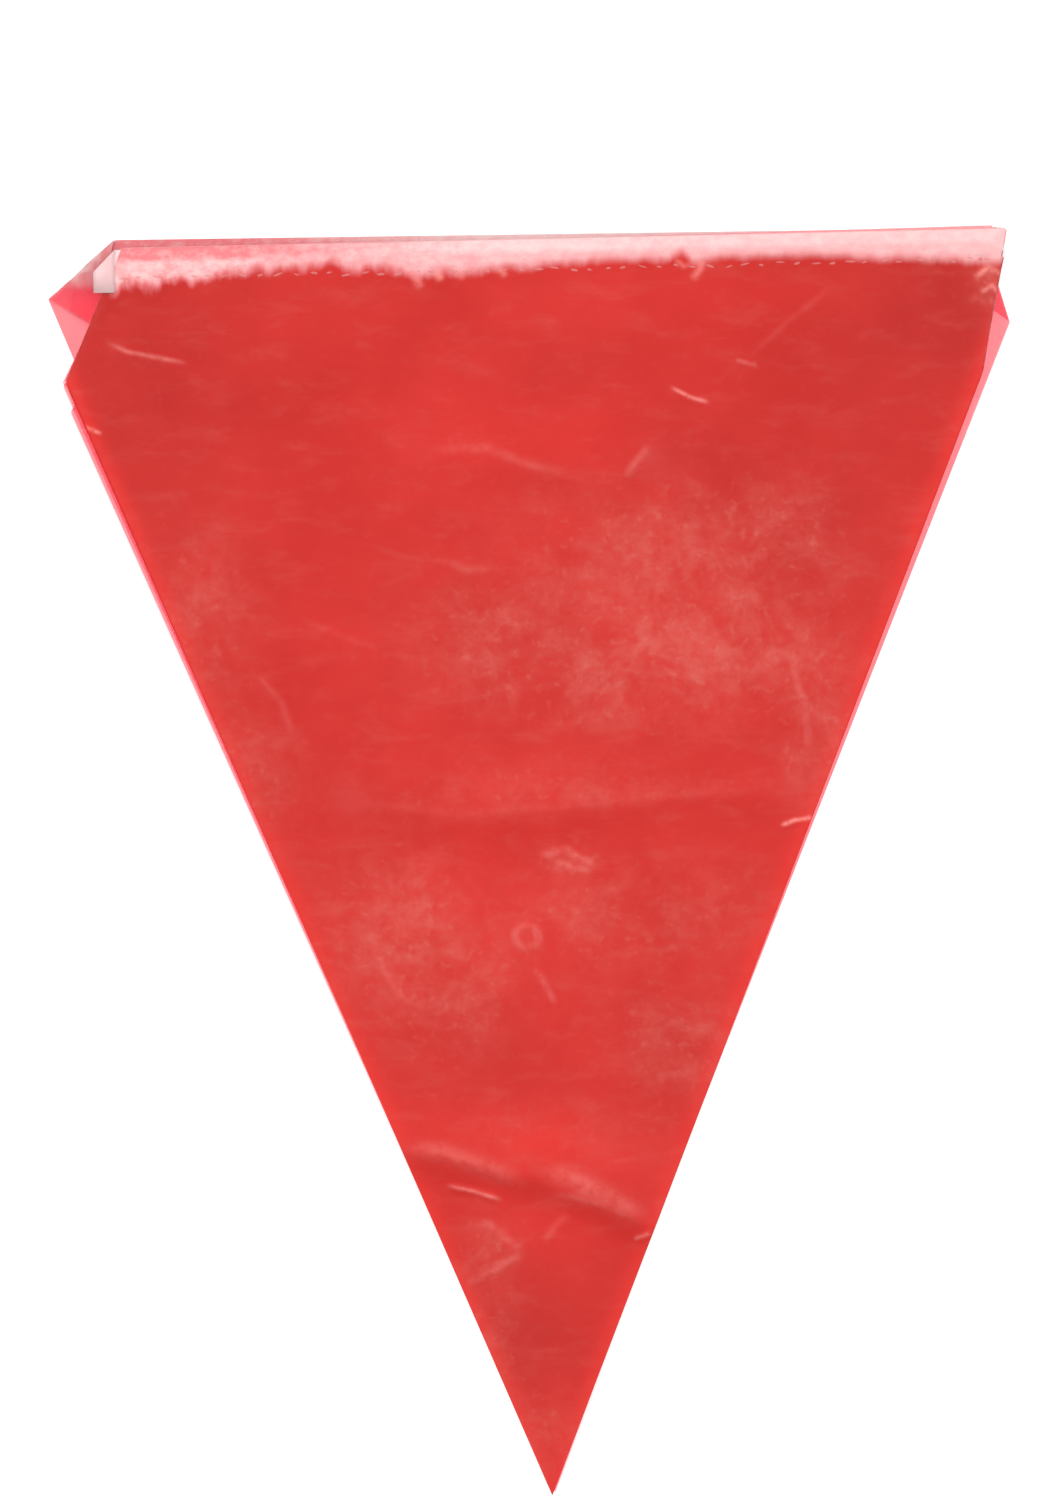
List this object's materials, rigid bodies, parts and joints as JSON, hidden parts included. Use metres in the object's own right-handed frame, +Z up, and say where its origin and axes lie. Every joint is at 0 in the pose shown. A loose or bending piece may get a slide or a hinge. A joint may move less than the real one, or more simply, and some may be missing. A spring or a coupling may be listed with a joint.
{
  "type": "pennant banner",
  "caption": "Pennant banner of thin red film triangles on a white tape, folded into a flat stack that lies face up.",
  "frame": {"origin": "middle of the base of the bounding box, on the surface that the stack lies on", "axes": "+Y from the pennants' tips to their heads, +X to the right as seen from above, +Z up"},
  "size_m": [0.215, 0.283, 0.0184],
  "materials": {
    "film": "thin translucent film with a soft gloss",
    "tape": "flat woven tape"
  },
  "bodies": {
    "root": {"pennant_01": "film", "pennant_02": "film", "pennant_03": "film", "pennant_04": "film", "pennant_05": "film", "pennant_06": "film", "pennant_07": "film", "pennant_08": "film", "pennant_09": "film", "pennant_10": "film", "pennant_11": "film", "pennant_12": "film", "heading_tape": "tape"}
  },
  "joints": []
}
